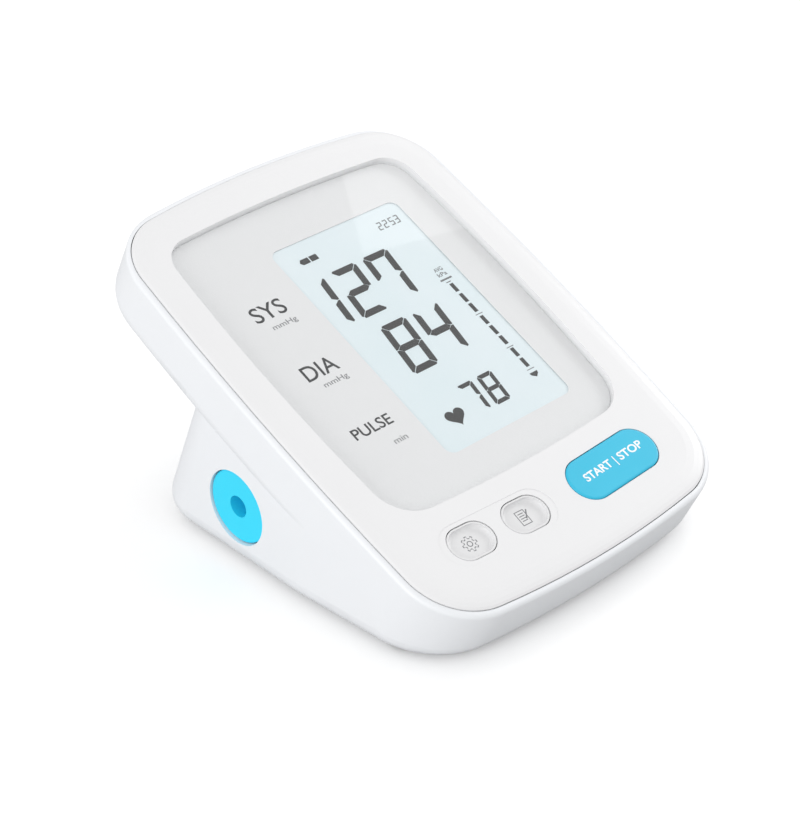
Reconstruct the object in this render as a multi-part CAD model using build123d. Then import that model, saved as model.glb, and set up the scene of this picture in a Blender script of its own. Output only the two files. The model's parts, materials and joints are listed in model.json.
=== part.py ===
"""Upper arm blood pressure monitor: a tilted display face on a wedge-shaped housing.

Row frame, millimetres: +X to the user's right, +Y to the rear, +Z up.  The origin is on the table,
under the middle of the bounding box.  Most pieces are placed in the face frame: u to the right,
v up the slope of the face and w out of the face, with w = 0 at the seam between cover and housing.
"""

from build123d import *
from math import cos, radians, sin
import os

# ---------------------------------------------------------------- driving dimensions
TILT = 25.3                 # slope of the display face, degrees
FACE_Y = -3.13              # middle of the face in the row frame
FACE_Z = 45.3
FLOOR_GAP = 0.8             # the rubber feet lift the housing this far

SEAM_HALF_WIDTH = 51.7      # outline of the front cover
SEAM_HALF_LENGTH = 68.9
SIDE_BOW = 2.2              # how far the long sides bulge between their ends
END_BOW = 4.0               # how far the front and rear ends bulge
FRONT_CORNER = 18.0
REAR_CORNER = 16.0
HOUSING_REAR_CORNER = 18.0  # the housing's own rear corners are rounder than the seam's

RIM = 1.6                   # housing rim outside the seam
SEAM_GAP = 0.1              # clearance on each side of the seam
RIM_ROUND = 1.2
WALL = 1.9
SLAB_DEPTH = 18.0           # thickness of the housing's upper slab under the seam
SLAB_ROUND = 5.5
FOOT_ROUND = 6.0
FOOT_FRONT = -85.0          # the foot's outline runs out past the front of the slab
FOOT_FRONT_HALF_WIDTH = 55.0
FOOT_REAR_CORNER = 14.0
FOOT_UPPER_SECTION = (-6.0, 29.8, 51.6)     # depth, rear edge and half width of the foot
FOOT_LOWER_SECTION = (-75.0, 26.0, 50.6)
HOLLOW_SLAB_ROUND = 3.4
HOLLOW_FOOT_ROUND = 3.0
SEAT = 3.2                  # depth of the ledge that carries the front cover

COVER_TOP = 1.2             # top of the cover above the seam plane
COVER_PLATE = 2.2
COVER_ROLL = ((0.0, 0.95), (0.5, 0.6), (1.4, 0.33), (2.8, 0.12), (4.8, 0.0))   # inset and drop of its edge

WINDOW_MIDDLE = -0.4        # the window sits slightly left of the middle
WINDOW_HALF_WIDTH = 42.2
WINDOW_FRONT = -38.5
WINDOW_REAR = 58.2
WINDOW_TOP = 0.2            # outer face of the clear window
WINDOW_THICK = 1.2
MASK_THICK = 0.15
WINDOW_LEDGE = 2.5
WINDOW_FRONT_CORNER = 11.0
WINDOW_REAR_CORNER = 8.0

LCD_LEFT, LCD_RIGHT = -14.4, 29.8       # visible area of the display
LCD_FRONT, LCD_REAR = -27.3, 44.6
LCD_CORNER = 2.6
LCD_BORDER = 2.2            # how far the glass reaches past the visible area
LCD_TOP = -1.25
LCD_THICK = 2.0
BACKLIGHT_THICK = 2.5

BOARD_TOP = -8.4
BOARD_THICK = 1.6

KEY_GAP = 0.2
KEY_TRAVEL = 0.5
START_KEY = (20.65, -50.6, 2.5)         # u, v and spin of each key
SETTINGS_KEY = (-28.8, -49.75, -2.6)
MEMORY_KEY = (-11.05, -50.7, -2.6)
START_SIZE = (30.6, 12.4)
SMALL_SIZE = (13.6, 9.5)
START_TOP = 1.5
SMALL_TOP = 1.0
KEY_RIM = 0.5               # the small keys are hollowed out inside a narrow rim
KEY_POCKET_DEPTH = 1.3
KEY_POCKET_ROUND = 1.1
KEY_FLANGE = 1.2
KEY_FLANGE_TOP = -1.3
KEY_BAND = (36.0, 12.2, 0.12)           # length, width and depth of the groove around the small keys
SWITCH_SIZE = 6.0
SWITCH_HEIGHT = 2.2
SWITCH_STEM_RADIUS = 1.7
SWITCH_STEM_TOP = -5.0
TOUCH_GAP = 0.05

JACK_Y, JACK_Z = 9.4, 17.6             # axis of the air jack on the left wall
JACK_FACE_X = -51.4
JACK_RADIUS = 9.9
JACK_POCKET = 10.15
JACK_BORE = 2.95
JACK_BORE_DEPTH = 9.4
JACK_INNER_X = -41.0
JACK_FLANGE_X = -49.2

CELL_RADIUS = 7.25
CELL_LENGTH = 50.5
CELL_PITCH = 15.0
CELL_COUNT = 4
BAY_HALF_WIDTH = 29.2
BAY_FRONT, BAY_REAR = -27.6, 33.2
BAY_ROOF = 18.4
BAY_WALL = 1.6
DOOR_THICK = 1.8
DOOR_GAP = 0.3
LATCH_HALF_WIDTH = 7.0
LATCH_LENGTH = 3.4

CASE_SCREWS = ((-45.0, -54.0), (45.0, -54.0), (-43.0, 55.0), (43.0, 55.0))
CASE_SCREW_SEATS = (-18.8, -18.8, -14.6, -14.6)
CASE_SCREW_LENGTH = 9.0
BOARD_SCREWS = ((-42.6, -44.0), (42.6, -44.0), (-34.0, 62.4), (34.0, 62.4))
SCREW_RADIUS = 1.45
BOARD_SCREW_RADIUS = 1.0
SCREW_HEAD_RADIUS = 2.7
SCREW_HEAD = 1.8
SLOT_WIDTH, SLOT_LENGTH, SLOT_DEPTH = 0.8, 3.2, 0.9     # cross recess of a screw head

AIR_V, AIR_W = -1.5, -16.5              # line through the manifold, the valve and the sensor
HOSE_RADIUS = 2.2
HOSE_BORE = 1.2
SPIGOT_RADIUS = 1.18
SPIGOT_BORE = 0.6
MANIFOLD_U = (-24.0, -14.0)
MANIFOLD_HALF = 3.5
SENSOR_V = -9.5
SENSOR_WIDTH, SENSOR_LENGTH = 9.0, 7.6
SENSOR_BELOW_AXIS = 2.6
VALVE_U = (-8.0, 12.0)
VALVE_TRAVEL = 0.8
VALVE_RADIUS = 6.0
PUMP_Y, PUMP_Z = 21.2, 31.2
PUMP_RADIUS = 10.2
MOTOR_X = (-8.0, 17.0)
PUMP_HEAD_X = (-28.0, -8.0)
SHAFT_RADIUS = 1.0

FOOT_RADIUS = 4.0
FOOT_RECESS = 1.0
FOOT_SPOTS = ((-33.0, -47.0), (33.0, -47.0), (-38.0, 33.0), (38.0, 33.0))

FACE = Plane(
    origin=(0, FACE_Y, FACE_Z),
    x_dir=(1, 0, 0),
    z_dir=(0, -sin(radians(TILT)), cos(radians(TILT))),
)
BIG = 400.0
LOW = (Align.CENTER, Align.CENTER, Align.MIN)
HIGH = (Align.CENTER, Align.CENTER, Align.MAX)


# ---------------------------------------------------------------- helpers
def depth(shape):
    """Height of a shape's middle above the face plane."""
    return FACE.to_local_coords(shape.center()).Z


def edges_at(solid, height):
    """Edges that lie at one height above the face plane."""
    return [e for e in solid.edges() if abs(depth(e) - height) < 0.001]


def at(u, v, w, spin=0.0):
    """Location in the face frame."""
    return FACE.location * Pos(u, v, w) * Rot(0, 0, spin)


def face_box(u, v, w):
    """Box in the face frame, from three (low, high) pairs."""
    middle = [(a + b) / 2 for a, b in (u, v, w)]
    return at(*middle) * Box(u[1] - u[0], v[1] - v[0], w[1] - w[0])


def row_box(x, y, z):
    """Box in the row frame, from three (low, high) pairs."""
    middle = [(a + b) / 2 for a, b in (x, y, z)]
    return Pos(*middle) * Box(x[1] - x[0], y[1] - y[0], z[1] - z[0])


def face_rod(u, v, radius, bottom, top):
    """Cylinder along the face normal."""
    return at(u, v, bottom) * Cylinder(radius, top - bottom, align=LOW)


def x_rod(y, z, radius, x_low, x_high):
    """Cylinder along +X."""
    return Pos(x_low, y, z) * Rot(0, 90, 0) * Cylinder(radius, x_high - x_low, align=LOW)


def outline(grow, front=-SEAM_HALF_LENGTH, rear=SEAM_HALF_LENGTH, half=SEAM_HALF_WIDTH,
            front_corner=FRONT_CORNER, rear_corner=REAR_CORNER, side_bow=SIDE_BOW, end_bow=END_BOW):
    """Bowed rounded rectangle, grown outwards by grow."""
    half, front, rear = half + grow, front - grow, rear + grow
    corner_u = half - side_bow
    front_v, rear_v = front + end_bow, rear - end_bow
    middle_v = (front_v + rear_v) / 2
    sides = [
        ThreePointArc((-corner_u, front_v), (0, front), (corner_u, front_v)),
        ThreePointArc((corner_u, front_v), (half, middle_v), (corner_u, rear_v)),
        ThreePointArc((corner_u, rear_v), (0, rear), (-corner_u, rear_v)),
        ThreePointArc((-corner_u, rear_v), (-half, middle_v), (-corner_u, front_v)),
    ]
    shape = make_face(Curve() + sides)
    shape = fillet([p for p in shape.vertices() if p.Y < middle_v], front_corner + grow)
    square = [p for p in shape.vertices() if p.Y > middle_v and abs(abs(p.X) - corner_u) < 0.001]
    return fillet(square, rear_corner + grow)


def slab(sketch, bottom, top):
    """Extrude a sketch along the face normal between two depths."""
    return extrude(FACE.offset(bottom) * sketch, amount=top - bottom)


def window_outline(grow):
    return Pos(WINDOW_MIDDLE, 0) * outline(
        grow, WINDOW_FRONT, WINDOW_REAR, WINDOW_HALF_WIDTH, WINDOW_FRONT_CORNER, WINDOW_REAR_CORNER,
        side_bow=2.0, end_bow=1.8)


def pill(size, grow=0.0):
    return SlotOverall(size[0] + 2 * grow, size[1] + 2 * grow)


def key_prism(key, size, grow, bottom, top):
    """Pill-shaped prism at a key's place."""
    u, v, spin = key
    return at(u, v, bottom, spin) * extrude(pill(size, grow), amount=top - bottom)


def spigot(start, direction, length):
    """Hollow hose spigot in the row frame."""
    tube = Circle(SPIGOT_RADIUS) - Circle(SPIGOT_BORE)
    return extrude(Plane(origin=start, z_dir=direction) * tube, amount=length)


def hose(points, radii):
    """Hose along straight runs joined by tangent arcs."""
    path = FilletPolyline(*points, radius=radii) if radii else Line(*points)
    start = Plane(origin=path @ 0, z_dir=path % 0)
    return sweep(start * (Circle(HOSE_RADIUS) - Circle(HOSE_BORE)), path=path)


def to_row(u, v, w):
    """Point of the face frame in the row frame."""
    return FACE.from_local_coords(Vector(u, v, w))


def above_floor(height):
    return Pos(0, 0, height) * Box(BIG, BIG, BIG, align=LOW)


# ---------------------------------------------------------------- housing
def leaning_prism(grow, bottom, top):
    """The housing's outline carried down along the face normal."""
    return slab(outline(RIM + grow, rear_corner=HOUSING_REAR_CORNER), bottom, top)


def base_prism(grow):
    """The foot under the slab: it narrows to the rear and its rear wall leans back."""
    def section(w, rear, half):
        front_half = FOOT_FRONT_HALF_WIDTH + grow
        corners = [
            (-front_half, FOOT_FRONT),
            (front_half, FOOT_FRONT),
            (half + grow, rear + grow),
            (-half - grow, rear + grow),
        ]
        shape = make_face(Polyline(*corners, close=True))
        shape = fillet([p for p in shape.vertices() if p.Y > 0], FOOT_REAR_CORNER + grow)
        return FACE.offset(w) * shape
    return loft([section(*FOOT_UPPER_SECTION), section(*FOOT_LOWER_SECTION)], ruled=True)


def housing_solid(grow, slab_depth, bottom, slab_round, foot_round, rim_round=0.0):
    """Slab and foot as one solid; a negative grow gives the hollow."""
    upper = leaning_prism(grow, -slab_depth, 0.0)
    upper = fillet(edges_at(upper, -slab_depth), slab_round)
    if rim_round:
        upper = fillet(edges_at(upper, 0.0), rim_round)
    foot = leaning_prism(grow, -90.0, -6.0) & base_prism(grow) & above_floor(bottom)
    sole = [e for e in foot.edges() if e.bounding_box().max.Z < bottom + 0.01]
    foot = fillet(sole, foot_round)
    return (upper & above_floor(bottom)) + foot


def make_lower_housing():
    outer = housing_solid(0.0, SLAB_DEPTH, FLOOR_GAP, SLAB_ROUND, FOOT_ROUND, RIM_ROUND)
    inner = housing_solid(-WALL, SLAB_DEPTH - WALL, FLOOR_GAP + WALL, HOLLOW_SLAB_ROUND, HOLLOW_FOOT_ROUND)
    inner = inner & (at(0, 0, -SEAT) * Box(BIG, BIG, BIG, align=HIGH))
    shell = outer - inner - slab(outline(SEAM_GAP), -SEAT, 5)

    bay_walls = row_box(
        (-BAY_HALF_WIDTH - BAY_WALL, BAY_HALF_WIDTH + BAY_WALL),
        (BAY_FRONT - BAY_WALL, BAY_REAR + BAY_WALL),
        (FLOOR_GAP + WALL - 0.5, BAY_ROOF + BAY_WALL),
    )
    shell = shell + bay_walls
    for spot, seat in zip(CASE_SCREWS, CASE_SCREW_SEATS):
        boss = face_rod(*spot, 3.9, -40, seat + 1.8) & outer
        shell = shell + boss
    shell = shell - row_box(
        (-BAY_HALF_WIDTH, BAY_HALF_WIDTH), (BAY_FRONT, BAY_REAR), (FLOOR_GAP + DOOR_THICK, BAY_ROOF))
    shell = shell - door_plate(DOOR_GAP, FLOOR_GAP - 1, FLOOR_GAP + DOOR_THICK + 0.1)
    shell = shell - latch_block(DOOR_GAP, FLOOR_GAP - 1, FLOOR_GAP + 9)
    for spot, seat in zip(CASE_SCREWS, CASE_SCREW_SEATS):
        shell = shell - face_rod(*spot, SCREW_RADIUS + 0.2, seat - 1, seat + 5)
        shell = shell - face_rod(*spot, SCREW_HEAD_RADIUS + 0.3, -60, seat)
    for x, y in FOOT_SPOTS:
        shell = shell - Pos(x, y, 0) * Cylinder(FOOT_RADIUS + 0.1, FLOOR_GAP + FOOT_RECESS, align=LOW)
    shell = shell - x_rod(JACK_Y, JACK_Z, JACK_POCKET, -60, -46)
    return shell


def door_plate(grow, bottom, top):
    return row_box(
        (-BAY_HALF_WIDTH - 1.0 - grow, BAY_HALF_WIDTH + 1.0 + grow),
        (BAY_FRONT - 0.6 - grow, BAY_REAR + 1.0 + grow),
        (bottom, top),
    )


def latch_block(grow, bottom, top):
    return row_box(
        (-LATCH_HALF_WIDTH - grow, LATCH_HALF_WIDTH + grow),
        (BAY_REAR + BAY_WALL - grow, BAY_REAR + BAY_WALL + LATCH_LENGTH + grow),
        (bottom, top),
    )


def make_battery_door():
    plate = door_plate(0.0, FLOOR_GAP, FLOOR_GAP + DOOR_THICK)
    front_edges = [e for e in plate.edges() if abs(e.center().Y - (BAY_FRONT - 0.6)) < 0.01]
    plate = fillet([e for e in front_edges if abs(e.center().X) < 0.01], DOOR_THICK / 2 - 0.05)
    latch = latch_block(0.0, FLOOR_GAP, FLOOR_GAP + DOOR_THICK)
    tongue = latch_block(0.0, FLOOR_GAP, FLOOR_GAP + 5.0) & row_box(
        (-LATCH_HALF_WIDTH, LATCH_HALF_WIDTH),
        (BAY_REAR + BAY_WALL + LATCH_LENGTH - 1.2, BAY_REAR + BAY_WALL + LATCH_LENGTH),
        (0, 20),
    )
    bridge = row_box(
        (-LATCH_HALF_WIDTH, LATCH_HALF_WIDTH),
        (BAY_REAR, BAY_REAR + BAY_WALL + 0.5),
        (FLOOR_GAP, FLOOR_GAP + DOOR_THICK),
    )
    door = plate + latch + tongue + bridge
    grip = [Pos(0, y, FLOOR_GAP) * Rot(0, 90, 0) * Cylinder(0.6, 16.0) for y in (24.0, 26.5, 29.0)]
    return door - grip


def make_rubber_feet():
    feet = []
    for x, y in FOOT_SPOTS:
        foot = Pos(x, y, 0) * Cylinder(FOOT_RADIUS, FLOOR_GAP + FOOT_RECESS, align=LOW)
        feet.append(fillet(foot.edges().group_by(Axis.Z)[0], 0.5))
    return Compound(feet)


# ---------------------------------------------------------------- front cover and window
def make_front_cover():
    body = slab(outline(-SEAM_GAP), -SEAT, COVER_TOP - COVER_ROLL[0][1])
    rings = [FACE.offset(COVER_TOP - drop) * outline(-SEAM_GAP - inset) for inset, drop in COVER_ROLL]
    body = body + loft(rings, ruled=True)
    body = body - slab(outline(-SEAM_GAP - WALL), -SEAT, COVER_TOP - COVER_PLATE)
    ledge_top = WINDOW_TOP - WINDOW_THICK - MASK_THICK
    tub = slab(window_outline(1.6), ledge_top - 1.2, COVER_TOP - COVER_PLATE)
    body = body + tub
    for spot, seat in zip(CASE_SCREWS, CASE_SCREW_SEATS):
        body = body + face_rod(*spot, 3.2, seat + 2.0, 0)
    for spot in BOARD_SCREWS:
        body = body + face_rod(*spot, 2.2, BOARD_TOP, 0)
    body = body - slab(window_outline(0.15), ledge_top, 5)
    body = body - slab(window_outline(-WINDOW_LEDGE), -10, 5)
    for spot, seat in zip(CASE_SCREWS, CASE_SCREW_SEATS):
        body = body - face_rod(*spot, SCREW_RADIUS, seat + 1, seat + CASE_SCREW_LENGTH + 0.5)
    for spot in BOARD_SCREWS:
        body = body - face_rod(*spot, BOARD_SCREW_RADIUS, BOARD_TOP - 1, BOARD_TOP + 5.5)
    band_u = (SETTINGS_KEY[0] + MEMORY_KEY[0]) / 2
    band_v = (SETTINGS_KEY[1] + MEMORY_KEY[1]) / 2
    band = (band_u, band_v, SETTINGS_KEY[2])
    body = body - key_prism(band, KEY_BAND[:2], 0, COVER_TOP - KEY_BAND[2], 5)
    body = body - key_prism(START_KEY, START_SIZE, KEY_GAP, -5, 5)
    for key in (SETTINGS_KEY, MEMORY_KEY):
        body = body - key_prism(key, SMALL_SIZE, KEY_GAP, -5, 5)
    return body


def make_display_window():
    return slab(window_outline(0.0), WINDOW_TOP - WINDOW_THICK, WINDOW_TOP)


def make_window_mask():
    bottom = WINDOW_TOP - WINDOW_THICK - MASK_THICK
    sheet = slab(window_outline(0.0), bottom, bottom + MASK_THICK)
    opening = display_prism(0.0, bottom - 1, bottom + 1, LCD_CORNER)
    return sheet - opening


# ---------------------------------------------------------------- keys and switches
def make_start_button():
    cap = key_prism(START_KEY, START_SIZE, 0, KEY_FLANGE_TOP, START_TOP)
    cap = fillet(edges_at(cap, START_TOP), 0.6)
    cap = cap + key_prism(START_KEY, START_SIZE, KEY_FLANGE, KEY_FLANGE_TOP - 0.8, KEY_FLANGE_TOP)
    return cap + key_post(START_KEY)


def make_small_button(key):
    cap = key_prism(key, SMALL_SIZE, 0, KEY_FLANGE_TOP, SMALL_TOP)
    cap = fillet(edges_at(cap, SMALL_TOP), 0.3)
    pocket_bottom = SMALL_TOP - KEY_POCKET_DEPTH
    pocket = key_prism(key, SMALL_SIZE, -KEY_RIM, pocket_bottom, 5)
    cap = cap - fillet(edges_at(pocket, pocket_bottom), KEY_POCKET_ROUND)
    cap = cap + key_prism(key, SMALL_SIZE, KEY_FLANGE, KEY_FLANGE_TOP - 0.8, KEY_FLANGE_TOP)
    return cap + key_post(key)


def key_post(key):
    u, v, _ = key
    return face_rod(u, v, 2.0, SWITCH_STEM_TOP + TOUCH_GAP, KEY_FLANGE_TOP - 0.5)


def make_switch_body(key):
    u, v, _ = key
    body = face_box(
        (u - SWITCH_SIZE / 2, u + SWITCH_SIZE / 2),
        (v - SWITCH_SIZE / 2, v + SWITCH_SIZE / 2),
        (BOARD_TOP, BOARD_TOP + SWITCH_HEIGHT),
    )
    well_bottom = SWITCH_STEM_TOP - 2.2 - KEY_TRAVEL - 0.1
    return body - face_rod(u, v, SWITCH_STEM_RADIUS + 0.1, well_bottom, 0)


def make_switch_stem(key):
    u, v, _ = key
    stem = face_rod(u, v, SWITCH_STEM_RADIUS, SWITCH_STEM_TOP - 2.2, SWITCH_STEM_TOP)
    return chamfer(edges_at(stem, SWITCH_STEM_TOP), 0.2)


# ---------------------------------------------------------------- display and board
def display_prism(grow, bottom, top, corner=0.0):
    """Block over the display's visible area, grown outwards by grow."""
    width, length = LCD_RIGHT - LCD_LEFT + 2 * grow, LCD_REAR - LCD_FRONT + 2 * grow
    shape = RectangleRounded(width, length, corner) if corner else Rectangle(width, length)
    middle = ((LCD_LEFT + LCD_RIGHT) / 2, (LCD_FRONT + LCD_REAR) / 2)
    return at(*middle, bottom) * extrude(shape, amount=top - bottom)


def make_display_glass():
    """Two sheets; the lower one reaches further forward and carries the contacts."""
    split = LCD_TOP - LCD_THICK / 2
    lower_front = LCD_FRONT - 4.4
    lower = face_box(
        (LCD_LEFT - LCD_BORDER, LCD_RIGHT + LCD_BORDER),
        (lower_front, LCD_REAR + LCD_BORDER),
        (LCD_TOP - LCD_THICK, split),
    )
    return lower + display_prism(LCD_BORDER, split, LCD_TOP)


def make_backlight_plate():
    top = LCD_TOP - LCD_THICK
    return display_prism(LCD_BORDER, top - BACKLIGHT_THICK, top)


def make_display_holder():
    """Frame round the display, open underneath and at the front for the connector."""
    frame = display_prism(5.0, BOARD_TOP, LCD_TOP - 0.2)
    pocket = display_prism(LCD_BORDER + 0.1, LCD_TOP - LCD_THICK - BACKLIGHT_THICK, 0)
    through = display_prism(-0.8, BOARD_TOP - 1, 0)
    front_slot = face_box(
        (LCD_LEFT - LCD_BORDER - 0.1, LCD_RIGHT + LCD_BORDER + 0.1),
        (LCD_FRONT - 4.5, LCD_FRONT),
        (BOARD_TOP - 1, 0),
    )
    return frame - pocket - through - front_slot


def make_display_connector():
    return face_box(
        (LCD_LEFT + 3, LCD_RIGHT - 3),
        (LCD_FRONT - 4.0, LCD_FRONT - 2.4),
        (BOARD_TOP, LCD_TOP - LCD_THICK),
    )


def make_main_board():
    body = slab(outline(-5.0), BOARD_TOP - BOARD_THICK, BOARD_TOP)
    for spot in CASE_SCREWS:
        body = body - face_rod(*spot, 4.6, -20, 0)
    for spot in BOARD_SCREWS:
        body = body - face_rod(*spot, 1.4, -20, 0)
    return body


def make_controller_chip():
    return face_box((-2.0, 10.0), (10.0, 22.0), (BOARD_TOP - BOARD_THICK - 1.4, BOARD_TOP - BOARD_THICK))


def make_board_capacitors():
    bottom = BOARD_TOP - BOARD_THICK
    spots = ((36.0, -14.0), (36.0, -21.0), (42.5, -14.0))
    return Compound([face_rod(u, v, 2.5, bottom - 5.4, bottom) for u, v in spots])


def make_buzzer():
    bottom = BOARD_TOP - BOARD_THICK
    return face_rod(34.0, 10.0, 6.0, bottom - 5.5, bottom) - face_rod(34.0, 10.0, 1.0, bottom - 6, bottom - 3)


def make_screws(spots, seats, length, radius):
    screws = []
    for (u, v), seat in zip(spots, seats):
        head = face_rod(u, v, SCREW_HEAD_RADIUS, seat - SCREW_HEAD, seat)
        for wide, long in ((SLOT_WIDTH, SLOT_LENGTH), (SLOT_LENGTH, SLOT_WIDTH)):
            middle = at(u, v, seat - SCREW_HEAD + SLOT_DEPTH)
            head = head - middle * Box(wide, long, BIG, align=HIGH)
        screws.append(head + face_rod(u, v, radius, seat, seat + length))
    return Compound(screws)


# ---------------------------------------------------------------- air path
def make_air_jack():
    body = x_rod(JACK_Y, JACK_Z, JACK_RADIUS, JACK_FACE_X, JACK_FLANGE_X + 2.0)
    body = body + x_rod(JACK_Y, JACK_Z, JACK_POCKET + 1.6, JACK_FLANGE_X, JACK_FLANGE_X + 1.6)
    body = body + x_rod(JACK_Y, JACK_Z, 4.8, JACK_FLANGE_X, JACK_INNER_X)
    face_edges = [e for e in body.edges() if abs(e.center().X - JACK_FACE_X) < 0.001]
    body = fillet(face_edges, 0.5)
    body = body - x_rod(JACK_Y, JACK_Z, JACK_BORE, JACK_FACE_X - 1, JACK_FACE_X + JACK_BORE_DEPTH)
    body = body - x_rod(JACK_Y, JACK_Z, SPIGOT_BORE, JACK_FACE_X, JACK_INNER_X + 1)
    return body + spigot((JACK_INNER_X, JACK_Y, JACK_Z), (1, 0, 0), 3.0)


def make_air_manifold():
    v_side = (AIR_V - MANIFOLD_HALF, AIR_V + MANIFOLD_HALF)
    w_side = (AIR_W - MANIFOLD_HALF, AIR_W + MANIFOLD_HALF)
    block = face_box(MANIFOLD_U, v_side, w_side)
    block = fillet(block.edges(), 0.8)
    u_mid = sum(MANIFOLD_U) / 2
    y, z = to_row(0, AIR_V, AIR_W).Y, to_row(0, AIR_V, AIR_W).Z
    block = block - x_rod(y, z, SPIGOT_BORE, MANIFOLD_U[0] - 1, MANIFOLD_U[1] + 1)
    cross = at(u_mid, AIR_V, AIR_W) * Rot(90, 0, 0) * Cylinder(SPIGOT_BORE, 2 * MANIFOLD_HALF + 2)
    block = block - cross
    up = FACE.y_dir
    block = block + spigot(to_row(MANIFOLD_U[0], AIR_V, AIR_W), (-1, 0, 0), 2.5)
    block = block + spigot(to_row(MANIFOLD_U[1], AIR_V, AIR_W), (1, 0, 0), 2.5)
    block = block + spigot(to_row(u_mid, AIR_V + MANIFOLD_HALF, AIR_W), up, 2.0)
    block = block + spigot(to_row(u_mid, AIR_V - MANIFOLD_HALF, AIR_W), -up, 1.9)
    return block


def make_jack_hose():
    end = to_row(MANIFOLD_U[0], AIR_V, AIR_W)
    corner_x = -34.0
    points = [
        (JACK_INNER_X, JACK_Y, JACK_Z),
        (corner_x, JACK_Y, JACK_Z),
        (corner_x, end.Y, end.Z),
        (end.X, end.Y, end.Z),
    ]
    return hose(points, [3.1, 4.4])


def make_pump_hose():
    u_mid = sum(MANIFOLD_U) / 2
    return hose([to_row(u_mid, AIR_V + MANIFOLD_HALF, AIR_W), to_row(u_mid, pump_port_v(), AIR_W)], None)


def make_valve_hose():
    return hose([to_row(MANIFOLD_U[1], AIR_V, AIR_W), to_row(VALVE_U[0], AIR_V, AIR_W)], None)


def make_sensor_hose():
    u_mid = sum(MANIFOLD_U) / 2
    return hose([to_row(u_mid, AIR_V - MANIFOLD_HALF, AIR_W), to_row(u_mid, SENSOR_V, AIR_W)], None)


def make_pressure_sensor():
    u_mid = sum(MANIFOLD_U) / 2
    body = face_box(
        (u_mid - SENSOR_WIDTH / 2, u_mid + SENSOR_WIDTH / 2),
        (SENSOR_V - SENSOR_LENGTH, SENSOR_V),
        (AIR_W - SENSOR_BELOW_AXIS, BOARD_TOP - BOARD_THICK),
    )
    return body + spigot(to_row(u_mid, SENSOR_V, AIR_W), FACE.y_dir, 1.9)


# ---------------------------------------------------------------- pump
def pump_axis():
    return FACE.to_local_coords(Vector(0, PUMP_Y, PUMP_Z))


def pump_port_v():
    """Where the outlet boss of the pump ends, up the slope from the manifold."""
    return pump_axis().Y - PUMP_RADIUS + 1.0


def make_pump_head():
    low, high = PUMP_HEAD_X
    body = x_rod(PUMP_Y, PUMP_Z, PUMP_RADIUS, low, high)
    body = body - x_rod(PUMP_Y, PUMP_Z, PUMP_RADIUS - 1.6, low + 5.0, high - 1.6)
    body = body - x_rod(PUMP_Y, PUMP_Z, SHAFT_RADIUS + 0.3, high - 3, high + 1)
    u_mid = sum(MANIFOLD_U) / 2
    boss = face_box((u_mid - 3, u_mid + 3), (pump_port_v(), pump_axis().Y), (AIR_W - 3, AIR_W + 3))
    boss = boss - x_rod(PUMP_Y, PUMP_Z, PUMP_RADIUS - 0.5, low, high)
    body = body + boss
    return body + spigot(to_row(u_mid, pump_port_v(), AIR_W), -FACE.y_dir, 2.0)


def make_pump_diaphragm():
    low = PUMP_HEAD_X[0] + 5.0
    disc = x_rod(PUMP_Y, PUMP_Z, PUMP_RADIUS - 1.7, low, low + 1.0)
    cup = x_rod(PUMP_Y, PUMP_Z, 4.0, low + 1.0, low + 3.0)
    return disc + cup


def make_pump_eccentric():
    low = PUMP_HEAD_X[0] + 8.6
    disc = x_rod(PUMP_Y, PUMP_Z + 1.2, 5.2, low, low + 5.0)
    return disc - x_rod(PUMP_Y, PUMP_Z, SHAFT_RADIUS, low - 1, low + 6)


def make_pump_shaft():
    return x_rod(PUMP_Y, PUMP_Z, SHAFT_RADIUS, PUMP_HEAD_X[0] + 8.6, MOTOR_X[1] + 1.5)


def make_motor_can():
    low, high = MOTOR_X
    can = x_rod(PUMP_Y, PUMP_Z, PUMP_RADIUS, low, high - 2.5)
    can = can - x_rod(PUMP_Y, PUMP_Z, PUMP_RADIUS - 0.8, low + 1.0, high)
    return can - x_rod(PUMP_Y, PUMP_Z, SHAFT_RADIUS + 0.05, low - 1, low + 2)


def make_motor_endcap():
    high = MOTOR_X[1]
    cap = x_rod(PUMP_Y, PUMP_Z, PUMP_RADIUS, high - 2.5, high)
    return cap - x_rod(PUMP_Y, PUMP_Z, SHAFT_RADIUS + 0.05, high - 3, high + 1)


def make_motor_magnets():
    low, high = MOTOR_X[0] + 3.0, MOTOR_X[1] - 4.0
    ring = x_rod(PUMP_Y, PUMP_Z, PUMP_RADIUS - 0.8, low, high)
    ring = ring - x_rod(PUMP_Y, PUMP_Z, PUMP_RADIUS - 3.0, low - 1, high + 1)
    gap = row_box((low - 1, high + 1), (PUMP_Y - 20, PUMP_Y + 20), (PUMP_Z - 2.5, PUMP_Z + 2.5))
    return ring - gap


def make_motor_armature():
    low, high = MOTOR_X[0] + 3.5, MOTOR_X[1] - 4.5
    core = x_rod(PUMP_Y, PUMP_Z, PUMP_RADIUS - 3.5, low, high)
    for spin in (0, 120, 240):
        slot = Rot(spin, 0, 0) * Pos(0, 0, PUMP_RADIUS - 4.5) * Box(60, 2.0, 5.0)
        core = core - Pos(0, PUMP_Y, PUMP_Z) * slot
    return core - x_rod(PUMP_Y, PUMP_Z, SHAFT_RADIUS, low - 1, high + 1)


# ---------------------------------------------------------------- release valve
def valve_rod(radius, low, high):
    y, z = to_row(0, AIR_V, AIR_W).Y, to_row(0, AIR_V, AIR_W).Z
    return x_rod(y, z, radius, low, high)


def make_valve_body():
    low, high = VALVE_U
    body = valve_rod(VALVE_RADIUS, low, high) - valve_rod(VALVE_RADIUS - 0.8, low + 2.0, high - 1.0)
    body = body - valve_rod(SPIGOT_BORE, low - 1, low + 3)
    return body + spigot(to_row(low, AIR_V, AIR_W), (-1, 0, 0), 2.5)


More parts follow.
